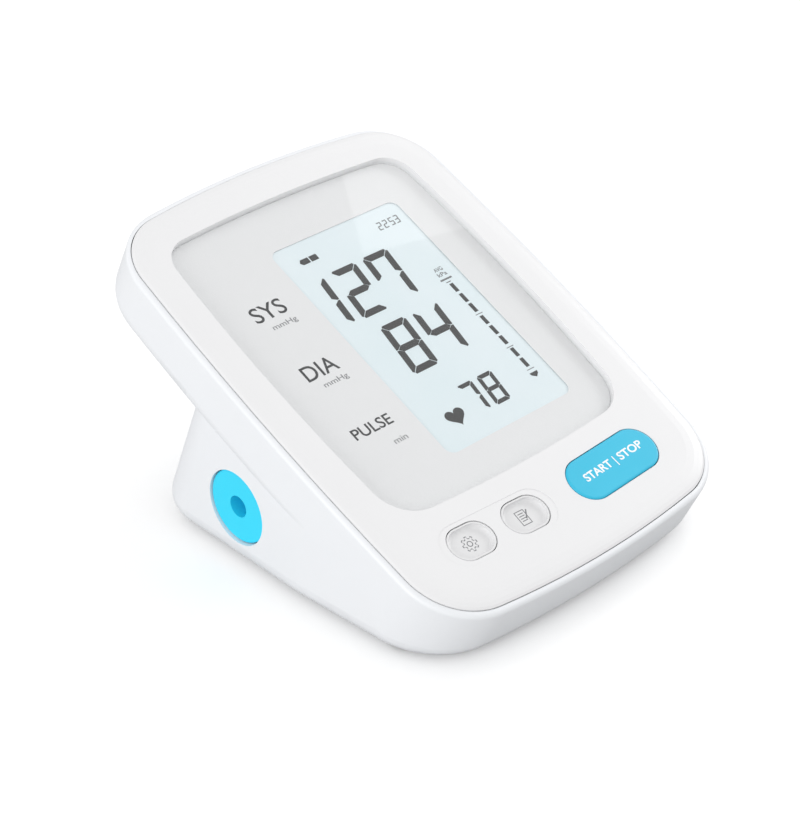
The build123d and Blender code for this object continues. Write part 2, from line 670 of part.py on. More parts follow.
def make_valve_coil():
    low, high = VALVE_U[0] + 5.0, VALVE_U[1] - 1.2
    return valve_rod(VALVE_RADIUS - 0.9, low, high) - valve_rod(2.3, low - 1, high + 1)


def make_valve_plunger():
    low = VALVE_U[0] + 2.2 + VALVE_TRAVEL
    return valve_rod(2.2, low, low + 10.0)


def make_valve_spring():
    low, high = VALVE_U[0] + 13.3, VALVE_U[1] - 1.3
    y, z = to_row(0, AIR_V, AIR_W).Y, to_row(0, AIR_V, AIR_W).Z
    return coil_spring(1.6, 0.25, high - low, 5, Pos(low, y, z) * Rot(0, 90, 0))


def coil_spring(radius, wire, length, turns, place):
    """Helical spring that starts at the place's origin and runs along its +Z."""
    path = Helix(pitch=length / turns, height=length, radius=radius)
    start = Plane(origin=path @ 0, z_dir=path % 0)
    return place * sweep(start * Circle(wire), path=path)


# ---------------------------------------------------------------- batteries
def cell_places():
    """Centre height, centre line and direction of each cell, from front to rear."""
    middle = (BAY_FRONT + BAY_REAR) / 2
    height = FLOOR_GAP + DOOR_THICK + 0.4 + CELL_RADIUS
    for index in range(CELL_COUNT):
        y = middle + (index - (CELL_COUNT - 1) / 2) * CELL_PITCH
        yield y, height, 1 if index % 2 == 0 else -1


def make_battery(y, z, way):
    """Cell along X with its button end towards way."""
    half = CELL_LENGTH / 2
    can = x_rod(y, z, CELL_RADIUS, -half, half - 1.5)
    can = fillet(can.edges(), 0.5)
    cell = can + x_rod(y, z, 2.7, half - 1.5 - 0.1, half)
    return cell if way > 0 else Pos(0, y, z) * Rot(0, 180, 0) * Pos(0, -y, -z) * cell


def make_battery_springs():
    springs = []
    reach = BAY_HALF_WIDTH - 0.8 - CELL_LENGTH / 2
    for y, z, way in cell_places():
        turn = Rot(0, 90, 0) if way > 0 else Rot(0, -90, 0)
        start = Pos(-way * (BAY_HALF_WIDTH - 0.75), y, z)
        springs.append(coil_spring(3.2, 0.3, reach - 0.5, 3, start * turn))
    return Compound(springs)


def make_battery_contacts():
    plates = []
    for side in (-1, 1):
        for y, z, _ in cell_places():
            x = sorted((side * BAY_HALF_WIDTH, side * (BAY_HALF_WIDTH - 0.4)))
            plates.append(row_box(x, (y - 5.5, y + 5.5), (z - 5.5, z + 5.5)))
    return Compound(plates)


# ---------------------------------------------------------------- write the pieces
def main():
    pieces = {
        "lower_housing": make_lower_housing(),
        "front_cover": make_front_cover(),
        "display_window": make_display_window(),
        "window_mask": make_window_mask(),
        "start_button": make_start_button(),
        "settings_button": make_small_button(SETTINGS_KEY),
        "memory_button": make_small_button(MEMORY_KEY),
        "start_switch": make_switch_body(START_KEY),
        "settings_switch": make_switch_body(SETTINGS_KEY),
        "memory_switch": make_switch_body(MEMORY_KEY),
        "start_switch_stem": make_switch_stem(START_KEY),
        "settings_switch_stem": make_switch_stem(SETTINGS_KEY),
        "memory_switch_stem": make_switch_stem(MEMORY_KEY),
        "display_glass": make_display_glass(),
        "backlight_plate": make_backlight_plate(),
        "display_holder": make_display_holder(),
        "display_connector": make_display_connector(),
        "main_board": make_main_board(),
        "controller_chip": make_controller_chip(),
        "board_capacitors": make_board_capacitors(),
        "buzzer": make_buzzer(),
        "board_screws": make_screws(BOARD_SCREWS, [BOARD_TOP - BOARD_THICK] * 4, 5.0, BOARD_SCREW_RADIUS),
        "case_screws": make_screws(CASE_SCREWS, CASE_SCREW_SEATS, CASE_SCREW_LENGTH, SCREW_RADIUS),
        "air_jack": make_air_jack(),
        "air_manifold": make_air_manifold(),
        "jack_hose": make_jack_hose(),
        "pump_hose": make_pump_hose(),
        "valve_hose": make_valve_hose(),
        "sensor_hose": make_sensor_hose(),
        "pressure_sensor": make_pressure_sensor(),
        "pump_head": make_pump_head(),
        "pump_diaphragm": make_pump_diaphragm(),
        "pump_eccentric": make_pump_eccentric(),
        "pump_shaft": make_pump_shaft(),
        "motor_can": make_motor_can(),
        "motor_endcap": make_motor_endcap(),
        "motor_magnets": make_motor_magnets(),
        "motor_armature": make_motor_armature(),
        "valve_body": make_valve_body(),
        "valve_coil": make_valve_coil(),
        "valve_plunger": make_valve_plunger(),
        "valve_spring": make_valve_spring(),
        "battery_springs": make_battery_springs(),
        "battery_contacts": make_battery_contacts(),
        "battery_door": make_battery_door(),
        "rubber_feet": make_rubber_feet(),
    }
    for number, place in enumerate(cell_places(), 1):
        pieces[f"battery_{number}"] = make_battery(*place)
    os.makedirs("parts", exist_ok=True)
    for name, shape in pieces.items():
        export_step(shape, f"parts/{name}.step")
        print(name, len(shape.solids()), round(shape.volume, 1))


if __name__ == "__main__":
    main()
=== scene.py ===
import json
from math import atan2, cos, pi, radians, sin, sqrt

import bmesh
import bpy
from mathutils import Matrix, Vector


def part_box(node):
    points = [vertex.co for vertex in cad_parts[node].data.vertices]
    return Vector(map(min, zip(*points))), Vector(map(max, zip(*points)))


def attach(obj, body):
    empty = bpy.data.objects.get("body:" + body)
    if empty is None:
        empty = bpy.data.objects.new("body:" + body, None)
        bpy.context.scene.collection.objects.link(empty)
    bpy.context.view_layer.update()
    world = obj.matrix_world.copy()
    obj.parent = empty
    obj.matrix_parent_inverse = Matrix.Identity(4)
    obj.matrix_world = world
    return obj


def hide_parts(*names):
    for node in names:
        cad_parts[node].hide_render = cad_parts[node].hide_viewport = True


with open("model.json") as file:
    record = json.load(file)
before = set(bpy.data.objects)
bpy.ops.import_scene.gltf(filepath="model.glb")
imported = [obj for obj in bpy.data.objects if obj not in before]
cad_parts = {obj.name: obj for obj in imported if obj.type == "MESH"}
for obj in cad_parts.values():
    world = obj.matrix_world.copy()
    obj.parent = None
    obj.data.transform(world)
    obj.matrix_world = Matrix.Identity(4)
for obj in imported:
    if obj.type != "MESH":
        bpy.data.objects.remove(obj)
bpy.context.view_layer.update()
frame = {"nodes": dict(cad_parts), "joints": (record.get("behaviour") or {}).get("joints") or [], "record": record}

MM = 0.001
NODES = frame["nodes"]


# ---------------------------------------------------------------- the face frame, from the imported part
def joint(name):
    return next(j for j in frame["joints"] if j["name"] == name)


def node_points(name):
    return [v.co.copy() for v in NODES[name].data.vertices]


INWARD = Vector(joint("start_press")["axis"]).normalized()
U_AXIS = Vector((1, 0, 0))
W_AXIS = -INWARD
V_AXIS = W_AXIS.cross(U_AXIS)
WINDOW_TOP = 0.2            # outer face of the window, from the face plane
WINDOW_FRONT, WINDOW_REAR = -38.5, 58.2
PANE_THICK = 1.16           # it clears the printed mask below it by a hair
PANE_EDGE = 0.15            # bevel round the pane's outer face
MASK_TOP = -1.0


def find_face_origin():
    points = node_points("display_window")
    top = max(p.dot(W_AXIS) for p in points) - WINDOW_TOP * MM
    ends = [p.dot(V_AXIS) for p in points]
    middle = (max(ends) + min(ends)) / 2 - (WINDOW_FRONT + WINDOW_REAR) / 2 * MM
    return W_AXIS * top + V_AXIS * middle


ORIGIN = find_face_origin()


def face_point(u, v, w):
    return ORIGIN + (U_AXIS * u + V_AXIS * v + W_AXIS * w) * MM


FACE_MATRIX = Matrix((
    (U_AXIS.x * MM, V_AXIS.x * MM, W_AXIS.x * MM, ORIGIN.x),
    (U_AXIS.y * MM, V_AXIS.y * MM, W_AXIS.y * MM, ORIGIN.y),
    (U_AXIS.z * MM, V_AXIS.z * MM, W_AXIS.z * MM, ORIGIN.z),
    (0, 0, 0, 1),
))


# ---------------------------------------------------------------- materials
def linear(value):
    value /= 255
    return value / 12.92 if value <= 0.04045 else ((value + 0.055) / 1.055) ** 2.4


def srgb(r, g, b):
    return (linear(r), linear(g), linear(b), 1.0)


class Tree:
    """A new material with a Principled shader, and short calls to add nodes."""

    def __init__(self, name):
        self.material = bpy.data.materials.new(name)
        self.material.use_nodes = True
        self.tree = self.material.node_tree
        self.shader = self.tree.nodes["Principled BSDF"]
        self.output = self.tree.nodes["Material Output"]
        self.place = None

    def add(self, kind, **values):
        node = self.tree.nodes.new(kind)
        for key, value in values.items():
            setattr(node, key, value)
        return node

    def link(self, a, b):
        self.tree.links.new(a, b)

    def position(self):
        if self.place is None:
            self.place = self.add("ShaderNodeTexCoord").outputs["Object"]
        return self.place

    def noise(self, scale, detail=3.0, roughness=0.55):
        node = self.add("ShaderNodeTexNoise")
        node.inputs["Scale"].default_value = scale
        node.inputs["Detail"].default_value = detail
        node.inputs["Roughness"].default_value = roughness
        self.link(self.position(), node.inputs["Vector"])
        return node.outputs["Fac"]

    def remap(self, value, low, high):
        node = self.add("ShaderNodeMapRange")
        node.inputs["From Min"].default_value = 0.3
        node.inputs["From Max"].default_value = 0.7
        node.inputs["To Min"].default_value = low
        node.inputs["To Max"].default_value = high
        self.link(value, node.inputs["Value"])
        return node.outputs["Result"]

    def blend(self, value, first, second):
        node = self.add("ShaderNodeMix", data_type="RGBA")
        node.inputs["A"].default_value = first
        node.inputs["B"].default_value = second
        self.link(value, node.inputs["Factor"])
        return node.outputs["Result"]

    def bump(self, value, strength, distance):
        node = self.add("ShaderNodeBump")
        node.inputs["Strength"].default_value = strength
        node.inputs["Distance"].default_value = distance
        self.link(value, node.inputs["Height"])
        self.link(node.outputs["Normal"], self.shader.inputs["Normal"])


def shaded(color, share):
    return (color[0] * share, color[1] * share, color[2] * share, 1.0)


def moulded(name, color, rough, grain=0.05, spread=0.03):
    """Moulded plastic, rubber or print: slight drift of colour, uneven gloss and a fine grain."""
    t = Tree(name)
    drift = t.remap(t.noise(38.0, 2.0), 0.0, 1.0)
    t.link(t.blend(drift, shaded(color, 1 - spread), color), t.shader.inputs["Base Color"])
    t.link(t.remap(t.noise(240.0, 4.0), rough * 0.9, rough * 1.1), t.shader.inputs["Roughness"])
    t.bump(t.noise(2600.0, 2.0), grain, 0.00004)
    return t.material


def brushed(name, color, rough, along=(1, 60, 60)):
    """Metal with fine drawing marks along one direction."""
    t = Tree(name)
    stretch = t.add("ShaderNodeMapping")
    stretch.inputs["Scale"].default_value = along
    t.link(t.position(), stretch.inputs["Vector"])
    t.place = stretch.outputs["Vector"]
    marks = t.noise(90.0, 4.0, 0.6)
    t.link(t.blend(t.remap(marks, 0.0, 1.0), shaded(color, 0.85), color), t.shader.inputs["Base Color"])
    t.link(t.remap(marks, rough * 0.8, rough * 1.25), t.shader.inputs["Roughness"])
    t.bump(marks, 0.15, 0.00003)
    t.shader.inputs["Metallic"].default_value = 1.0
    return t.material


def clear_pane(name):
    """Polished clear pane: it lets light straight through and mirrors by Fresnel."""
    t = Tree(name)
    fresnel = t.add("ShaderNodeFresnel")
    fresnel.inputs["IOR"].default_value = 1.45
    glossy = t.add("ShaderNodeBsdfGlossy")
    t.link(t.remap(t.noise(60.0, 2.0), 0.015, 0.03), glossy.inputs["Roughness"])
    see = t.add("ShaderNodeBsdfTransparent")
    see.inputs["Color"].default_value = (0.985, 0.99, 0.99, 1)
    mix = t.add("ShaderNodeMixShader")
    front = t.add("ShaderNodeMath", operation="SUBTRACT")
    front.inputs[0].default_value = 1.0
    t.link(t.add("ShaderNodeNewGeometry").outputs["Backfacing"], front.inputs[1])
    share = t.add("ShaderNodeMath", operation="MULTIPLY")
    t.link(fresnel.outputs["Fac"], share.inputs[0])
    t.link(front.outputs["Value"], share.inputs[1])
    t.link(share.outputs["Value"], mix.inputs["Fac"])
    t.link(see.outputs["BSDF"], mix.inputs[1])
    t.link(glossy.outputs["BSDF"], mix.inputs[2])
    t.link(mix.outputs["Shader"], t.output.inputs["Surface"])
    t.tree.nodes.remove(t.shader)
    return t.material


def display_material(name):
    """Pale blue liquid crystal panel."""
    t = Tree(name)
    drift = t.remap(t.noise(30.0, 2.0), 0.0, 1.0)
    color = t.blend(drift, srgb(230, 241, 245), srgb(236, 244, 248))
    t.link(color, t.shader.inputs["Base Color"])
    t.link(t.remap(t.noise(400.0), 0.28, 0.36), t.shader.inputs["Roughness"])
    t.bump(t.noise(3000.0), 0.02, 0.00002)
    return t.material


def board_material(name):
    """Green solder mask over faint copper tracks."""
    t = Tree(name)
    track = t.add("ShaderNodeTexVoronoi", feature="DISTANCE_TO_EDGE", distance="CHEBYCHEV")
    track.inputs["Scale"].default_value = 260.0
    t.link(t.position(), track.inputs["Vector"])
    edge = t.add("ShaderNodeMath", operation="LESS_THAN")
    edge.inputs[1].default_value = 0.06
    t.link(track.outputs["Distance"], edge.inputs[0])
    color = t.blend(edge.outputs["Value"], srgb(18, 92, 54), srgb(44, 128, 76))
    t.link(color, t.shader.inputs["Base Color"])
    t.link(t.remap(t.noise(300.0), 0.3, 0.45), t.shader.inputs["Roughness"])
    t.bump(edge.outputs["Value"], 0.3, 0.00003)
    return t.material


def coil_material(name, color):
    """Close turns of enamelled wire along X, with painted shade darkening the grooves between turns."""
    t = Tree(name)
    turns_and_groove_shade = t.add("ShaderNodeTexWave", bands_direction="X")
    turns_and_groove_shade.inputs["Scale"].default_value = 900.0
    turns_and_groove_shade.inputs["Distortion"].default_value = 0.4
    t.link(t.position(), turns_and_groove_shade.inputs["Vector"])
    # painted shade: the copper colour drops to 55% in the grooves between turns, where the relief is lowest
    t.link(t.blend(turns_and_groove_shade.outputs["Fac"], shaded(color, 0.55), color), t.shader.inputs["Base Color"])
    t.link(t.remap(t.noise(500.0), 0.25, 0.4), t.shader.inputs["Roughness"])
    t.bump(turns_and_groove_shade.outputs["Fac"], 0.5, 0.0001)
    t.shader.inputs["Metallic"].default_value = 0.9
    return t.material


def cell_material(name):
    """Printed sleeve of a battery: dark foil with a lighter band at one end."""
    t = Tree(name)
    split = t.add("ShaderNodeSeparateXYZ")
    t.link(t.position(), split.inputs["Vector"])
    band = t.add("ShaderNodeMath", operation="GREATER_THAN")
    band.inputs[1].default_value = 0.012
    t.link(split.outputs["X"], band.inputs[0])
    color = t.blend(band.outputs["Value"], srgb(58, 62, 70), srgb(166, 170, 176))
    t.link(color, t.shader.inputs["Base Color"])
    t.link(t.remap(t.noise(300.0), 0.22, 0.34), t.shader.inputs["Roughness"])
    t.bump(t.noise(900.0), 0.05, 0.00003)
    t.shader.inputs["Metallic"].default_value = 0.6
    return t.material


MATERIALS = {
    "housing_plastic": moulded("housing_plastic", srgb(238, 240, 243), 0.42, spread=0.01),
    "cover_plastic": moulded("cover_plastic", srgb(234, 234, 235), 0.36, spread=0.01),
    "window_clear": clear_pane("window_clear"),
    "mask_print": moulded("mask_print", srgb(236, 235, 236), 0.5, spread=0.008),
    "start_key_plastic": moulded("start_key_plastic", srgb(48, 192, 226), 0.38, spread=0.03),
    "small_key_plastic": moulded("small_key_plastic", srgb(228, 228, 229), 0.42, spread=0.02),
    "switch_body": moulded("switch_body", srgb(36, 36, 38), 0.5),
    "switch_stem": moulded("switch_stem", srgb(226, 226, 220), 0.45),
    "display_glass": display_material("display_glass"),
    "light_guide": moulded("light_guide", srgb(224, 238, 246), 0.3),
    "white_frame": moulded("white_frame", srgb(235, 235, 232), 0.48),
    "elastomer": moulded("elastomer", srgb(120, 120, 122), 0.7, grain=0.15),
    "circuit_board": board_material("circuit_board"),
    "chip_black": moulded("chip_black", srgb(34, 34, 36), 0.6, grain=0.3),
    "capacitor_metal": brushed("capacitor_metal", srgb(198, 200, 204), 0.3),
    "screw_steel": brushed("screw_steel", srgb(200, 200, 198), 0.32),
    "jack_plastic": moulded("jack_plastic", srgb(46, 222, 255), 0.36, spread=0.03),
    "silicone_hose": moulded("silicone_hose", srgb(232, 234, 232), 0.4, grain=0.1),
    "sensor_body": moulded("sensor_body", srgb(40, 40, 44), 0.5),
    "pump_plastic": moulded("pump_plastic", srgb(62, 62, 66), 0.45),
    "shaft_steel": brushed("shaft_steel", srgb(210, 210, 214), 0.18),
    "motor_metal": brushed("motor_metal", srgb(190, 192, 194), 0.34),
    "magnet_dark": moulded("magnet_dark", srgb(56, 56, 60), 0.6, grain=0.4),
    "armature_metal": brushed("armature_metal", srgb(140, 128, 118), 0.45, along=(80, 1, 1)),
    "coil_copper": coil_material("coil_copper", srgb(206, 128, 84)),
    "spring_metal": brushed("spring_metal", srgb(214, 214, 216), 0.24, along=(30, 30, 30)),
    "foot_rubber": moulded("foot_rubber", srgb(150, 152, 154), 0.75, grain=0.3),
    "cell_wrap": cell_material("cell_wrap"),
}
LCD_INK = moulded("lcd_segment", srgb(60, 59, 60), 0.4, spread=0.05)
LCD_FAINT = moulded("lcd_small_segment", srgb(118, 119, 121), 0.4, spread=0.05)
PRINT_INK = moulded("print_ink", srgb(60, 60, 62), 0.5, spread=0.05)
PRINT_FAINT = moulded("print_small_ink", srgb(128, 128, 131), 0.5, spread=0.05)
KEY_INK = moulded("key_ink", srgb(248, 250, 251), 0.45, spread=0.02)
ICON_INK = moulded("icon_ink", srgb(124, 125, 128), 0.5, spread=0.05)


def dress_nodes():
    """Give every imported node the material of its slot."""
    for part in frame["record"]["subparts"]:
        mesh = NODES[part["node"]].data
        mesh.materials.clear()
        mesh.materials.append(MATERIALS[part["material_slot"]])
        for polygon in mesh.polygons:
            polygon.material_index = 0


# ---------------------------------------------------------------- pieces drawn on the face
def new_piece(name, bm, material, body):
    """Turn a mesh drawn in the face frame into a named piece on a body."""
    mesh = bpy.data.meshes.new(name)
    bmesh.ops.recalc_face_normals(bm, faces=bm.faces)
    bm.to_mesh(mesh)
    bm.free()
    mesh.transform(FACE_MATRIX)
    mesh.materials.append(material)
    piece = bpy.data.objects.new(name, mesh)
    bpy.context.scene.collection.objects.link(piece)
    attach(piece, body)
    return piece


def add_plate(bm, points, bottom, top):
    """Closed flat plate from an outline of (u, v) points."""
    low = [bm.verts.new((u, v, bottom)) for u, v in points]
    high = [bm.verts.new((u, v, top)) for u, v in points]
    bm.faces.new(low[::-1])
    bm.faces.new(high)
    count = len(points)
    for i in range(count):
        k = (i + 1) % count
        bm.faces.new((low[i], low[k], high[k], high[i]))


def add_band(bm, outer, inner, bottom, top):
    """Closed flat ring between two outlines with as many points."""
    rings = [[bm.verts.new((u, v, w)) for u, v in line] for line in (outer, inner) for w in (bottom, top)]
    outer_low, outer_high, inner_low, inner_high = rings
    count = len(outer)
    for i in range(count):
        k = (i + 1) % count
        bm.faces.new((outer_low[i], outer_low[k], outer_high[k], outer_high[i]))
        bm.faces.new((inner_low[k], inner_low[i], inner_high[i], inner_high[k]))
        bm.faces.new((outer_high[i], outer_high[k], inner_high[k], inner_high[i]))
        bm.faces.new((outer_low[k], outer_low[i], inner_low[i], inner_low[k]))


def stroke(points, width):
    """Outline of a straight-sided line of constant width through two points."""
    (au, av), (bu, bv) = points
    length = sqrt((bu - au) ** 2 + (bv - av) ** 2)
    du, dv = (bu - au) / length * width / 2, (bv - av) / length * width / 2
    return [(au - dv, av + du), (au + dv, av - du), (bu + dv, bv - du), (bu - dv, bv + du)]


# ---- seven-segment digits
SEGMENTS = {
    "1": "bc", "2": "abged", "3": "abgcd", "4": "fgbc", "5": "afgcd", "7": "abcf", "8": "abcdefg",
    "7short": "abc",
}
SEGMENT_SLANT = 0.11


def digit_outlines(kind, u, v, width, height, thick, gap, chop):
    """Outlines of the lit segments of one digit whose lower left corner is at (u, v)."""
    half = height / 2
    tip = chop / 2
    corner_a = [
        (chop, height), (width - chop, height), (width - tip - gap, height - tip),
        (width - thick - gap, height - thick), (thick + gap, height - thick), (tip + gap, height - tip),
    ]
    side_b = [
        (width, height - chop), (width, half + gap), (width - 0.3 * thick, half + gap * 0.8),
        (width - thick, half + thick / 2 + gap * 0.2), (width - thick, height - thick - gap),
        (width - tip, height - tip - gap),
    ]
    inner, outer = thick + gap * 0.3, thick * 0.3 + gap
    middle = [
        (outer, half), (inner, half + thick / 2), (width - inner, half + thick / 2),
        (width - outer, half), (width - inner, half - thick / 2), (inner, half - thick / 2),
    ]

    def flip_u(points):
        return [(width - x, y) for x, y in points][::-1]

    def flip_v(points):
        return [(x, height - y) for x, y in points][::-1]

    shapes = {
        "a": corner_a, "b": side_b, "c": flip_v(side_b), "d": flip_v(corner_a),
        "e": flip_u(flip_v(side_b)), "f": flip_u(side_b), "g": middle,
    }
    lit = []
    for segment in SEGMENTS[kind]:
        lit.append([(u + x + y * SEGMENT_SLANT, v + y) for x, y in shapes[segment]])
    return lit


RING_COUNT = 240            # points round the window's outline


def node_ring(node, w):
    """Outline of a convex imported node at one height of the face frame, evenly spaced, in millimetres."""
    found = []
    for p in node_points(node):
        q = (p - ORIGIN) / MM
        if abs(q.dot(W_AXIS) - w) < 0.02:
            found.append((q.dot(U_AXIS), q.dot(V_AXIS)))
    middle_u = (max(u for u, _ in found) + min(u for u, _ in found)) / 2
    middle_v = (max(v for _, v in found) + min(v for _, v in found)) / 2
    found = set((round(u, 4), round(v, 4)) for u, v in found)
    found = sorted(found, key=lambda p: atan2(p[1] - middle_v, p[0] - middle_u))
    lengths = [0.0]
    closed = found + found[:1]
    for (au, av), (bu, bv) in zip(closed, closed[1:]):
        lengths.append(lengths[-1] + sqrt((bu - au) ** 2 + (bv - av) ** 2))
    ring, k = [], 0
    for i in range(RING_COUNT):
        target = lengths[-1] * i / RING_COUNT
        while lengths[k + 1] < target:
            k += 1
        share = (target - lengths[k]) / (lengths[k + 1] - lengths[k])
        (au, av), (bu, bv) = closed[k], closed[k + 1]
        ring.append((au + (bu - au) * share, av + (bv - av) * share))
    return ring


def shrunk(ring, amount):
    """A convex outline moved inwards by amount."""
    moved = []
    count = len(ring)
    for i in range(count):
        (au, av), (bu, bv) = ring[i - 1], ring[(i + 1) % count]
        length = sqrt((bu - au) ** 2 + (bv - av) ** 2)
        moved.append((ring[i][0] - (bv - av) / length * amount, ring[i][1] + (bu - au) / length * amount))
    return moved


def make_window():
    """Clear pane with a fine polished edge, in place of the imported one."""
    ring = node_ring("display_window", WINDOW_TOP)
    bm = bmesh.new()
    levels = (
        (ring, WINDOW_TOP - PANE_THICK),
        (ring, WINDOW_TOP - PANE_EDGE),
        (shrunk(ring, PANE_EDGE), WINDOW_TOP),
    )
    rows = [[bm.verts.new((u, v, w)) for u, v in line] for line, w in levels]
    for low, high in zip(rows, rows[1:]):
        for i in range(len(ring)):
            k = (i + 1) % len(ring)
            bm.faces.new((low[i], low[k], high[k], high[i]))
    bm.faces.new(rows[0][::-1])
    bm.faces.new(rows[-1])
    pane = new_piece("window_pane", bm, MATERIALS["window_clear"], "housing")
    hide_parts("display_window")


LCD_TOP = -1.25
LCD_LIFT = 0.04             # thickness of a lit segment on the panel
LARGE = dict(width=8.75, height=16.1, thick=1.95, gap=0.13, chop=0.9)
PULSE_SIZE = dict(width=5.2, height=9.5, thick=1.2, gap=0.1, chop=0.6)
CLOCK_SIZE = dict(width=1.45, height=2.6, thick=0.3, gap=0.03, chop=0.15)
UPPER_ROW, LOWER_ROW = 16.0, -4.1       # lower edges of the rows of digits
PULSE_ROW, CLOCK_ROW = -21.7, 37.3
LCD_SHIFT = (1.0, 0.54)     # from the drawing's own origin to the face's middle


def make_display_drawing():
    bm = bmesh.new()
    small = bmesh.new()

    def draw(target, outlines):
        for outline in outlines:
            moved = [(u + LCD_SHIFT[0], v + LCD_SHIFT[1]) for u, v in outline]
            add_plate(target, moved, LCD_TOP, LCD_TOP + LCD_LIFT)

    for kind, u in (("1", -17.5), ("2", -6.3), ("7", 4.9)):
        draw(bm, digit_outlines(kind, u, UPPER_ROW, **LARGE))
    for kind, u in (("8", -6.3), ("4", 4.9)):
        draw(bm, digit_outlines(kind, u, LOWER_ROW, **LARGE))
    for kind, u in (("7short", -0.15), ("8", 6.9)):
        draw(bm, digit_outlines(kind, u, PULSE_ROW, **PULSE_SIZE))
    for kind, u in (("2", 18.3), ("2", 20.3), ("5", 22.5), ("3", 24.35)):
        draw(small, digit_outlines(kind, u, CLOCK_ROW, **CLOCK_SIZE))
    # battery symbol
    draw(bm, [[(-9.6, 38.05), (-8.9, 38.95), (-6.45, 38.95), (-6.45, 37.2), (-8.9, 37.2)]])
    draw(bm, [[(-6.05, 37.2), (-6.05, 38.95), (-3.6, 38.95), (-3.6, 37.2)]])
    # heart
    draw(bm, [heart(-5.5, -19.6, 6.0, 5.1)])
    # cuff pressure scale: bars, ticks and the bracket above them
    for top, bottom in (
        (14.6, 11.7), (10.8, 7.8), (7.1, 4.1), (2.5, -0.4),
        (-1.2, -4.2), (-5.0, -7.9), (-9.5, -12.4), (-13.2, -16.2),
    ):
        draw(bm, [[(23.0, bottom), (24.2, bottom), (24.2, top), (23.0, top)]])
    for v in (3.25, -9.0, -17.1):
        draw(small, [stroke(((22.4, v), (24.8, v)), 0.2)])
    draw(small, [stroke(((21.5, 16.4), (25.5, 16.4)), 0.5)])
    draw(small, [stroke(((22.6, 15.3), (24.2, 15.3)), 0.25)])
    draw(bm, [[(22.1, -18.2), (24.8, -18.2), (24.6, -18.9), (23.45, -19.8), (22.3, -18.9)]])
    new_piece("lcd_segments", bm, LCD_INK, "housing")
    new_piece("lcd_small_segments", small, LCD_FAINT, "housing")


def heart(u, v, width, height):
    """Outline of a heart centred on (u, v)."""
    points = []
    for i in range(48):
        t = 2 * pi * i / 48
        x = 16 * sin(t) ** 3
        y = 13 * cos(t) - 5 * cos(2 * t) - 2 * cos(3 * t) - cos(4 * t)
        points.append((u + x / 32 * width, v + (y + 2.5) / 29 * height))
    return points[::-1]


# ---- printed words
CAP_HEIGHT = 0.684          # height of the built-in font's capitals, as a share of its size
FONT_SIZE = 10.0


def add_words(name, text, u_range, v_range, w, material, body, spin=0.0, offset=0.0, thick=0.03):
    """Printed word in a (u, v) box: its baseline is the lower v, its capitals reach the upper v."""
    curve = bpy.data.curves.new(name, "FONT")
    curve.body = text
    curve.size = FONT_SIZE
    curve.offset = offset
    curve.extrude = 0.5
    curve.resolution_u = 6
    made = bpy.data.objects.new(name + "_curve", curve)
    bpy.context.scene.collection.objects.link(made)
    bpy.context.view_layer.update()
    mesh = bpy.data.meshes.new_from_object(made.evaluated_get(bpy.context.evaluated_depsgraph_get()))
    bpy.data.objects.remove(made)
    bpy.data.curves.remove(curve)
    bm = bmesh.new()
    bm.from_mesh(mesh)
    bpy.data.meshes.remove(mesh)
    bmesh.ops.remove_doubles(bm, verts=bm.verts, dist=0.0005)
    left = min(v.co.x for v in bm.verts)
    right = max(v.co.x for v in bm.verts)
    cap = CAP_HEIGHT * FONT_SIZE
    scale_u = (u_range[1] - u_range[0]) / (right - left)
    scale_v = (v_range[1] - v_range[0]) / cap
    middle_u, middle_v = (u_range[0] + u_range[1]) / 2, (v_range[0] + v_range[1]) / 2
    turn = Matrix.Rotation(radians(spin), 4, "Z")
    for vert in bm.verts:
        x = (vert.co.x - (left + right) / 2) * scale_u
        y = (vert.co.y - cap / 2) * scale_v
        z = (vert.co.z + 0.5) * thick
        spun = turn @ Vector((x, y, 0))
        vert.co = Vector((middle_u + spun.x, middle_v + spun.y, w + z))
    return new_piece(name, bm, material, body)


PRINT_SHIFT = (0.82, 0.45)  # from the print's own origin to the face's middle


def make_print():
    """Words printed on the mask, under the window, and two small ones on the panel."""
    ink, faint = PRINT_INK, PRINT_FAINT
    rows = (
        ("word_sys", "SYS", (-32.7, -22.4), (27.2, 31.8), ink, 0.05),
        ("word_sys_unit", "mmHg", (-30.0, -22.25), (23.75, 25.25), faint, -0.02),
        ("word_dia", "DIA", (-32.8, -22.4), (6.7, 11.2), ink, 0.05),
        ("word_dia_unit", "mmHg", (-30.0, -22.25), (3.5, 5.0), faint, -0.02),
        ("word_pulse", "PULSE", (-33.75, -21.25), (-12.9, -9.8), ink, 0.09),
        ("word_pulse_unit", "min", (-25.4, -21.2), (-18.4, -16.7), faint, -0.02),
    )
    for name, text, u, v, material, offset in rows:
        u = (u[0] + PRINT_SHIFT[0], u[1] + PRINT_SHIFT[0])
        v = (v[0] + PRINT_SHIFT[1], v[1] + PRINT_SHIFT[1])
        add_words(name, text, u, v, MASK_TOP, material, "housing", offset=offset)
    small_rows = (
        ("word_average", "AVG", (22.2, 25.1), (19.3, 20.5)),
        ("word_kpa", "kPa", (22.1, 25.2), (17.6, 18.8)),
    )
    for name, text, u, v in small_rows:
        u = (u[0] + LCD_SHIFT[0], u[1] + LCD_SHIFT[0])
        v = (v[0] + LCD_SHIFT[1], v[1] + LCD_SHIFT[1])
        add_words(name, text, u, v, LCD_TOP, LCD_FAINT, "housing", offset=0.05)


START_WORDS = (             # text, middle and width along the key, from the middle of the whole line
    ("word_start", "START", -6.0, 10.0),
    ("word_bar", "|", 0.55, 0.3),
    ("word_stop", "STOP", 6.5, 8.9),
)
START_LINE = (21.2, -50.07, 2.8)        # middle and spin of the line
START_CAP = 2.16
START_TOP = 1.5


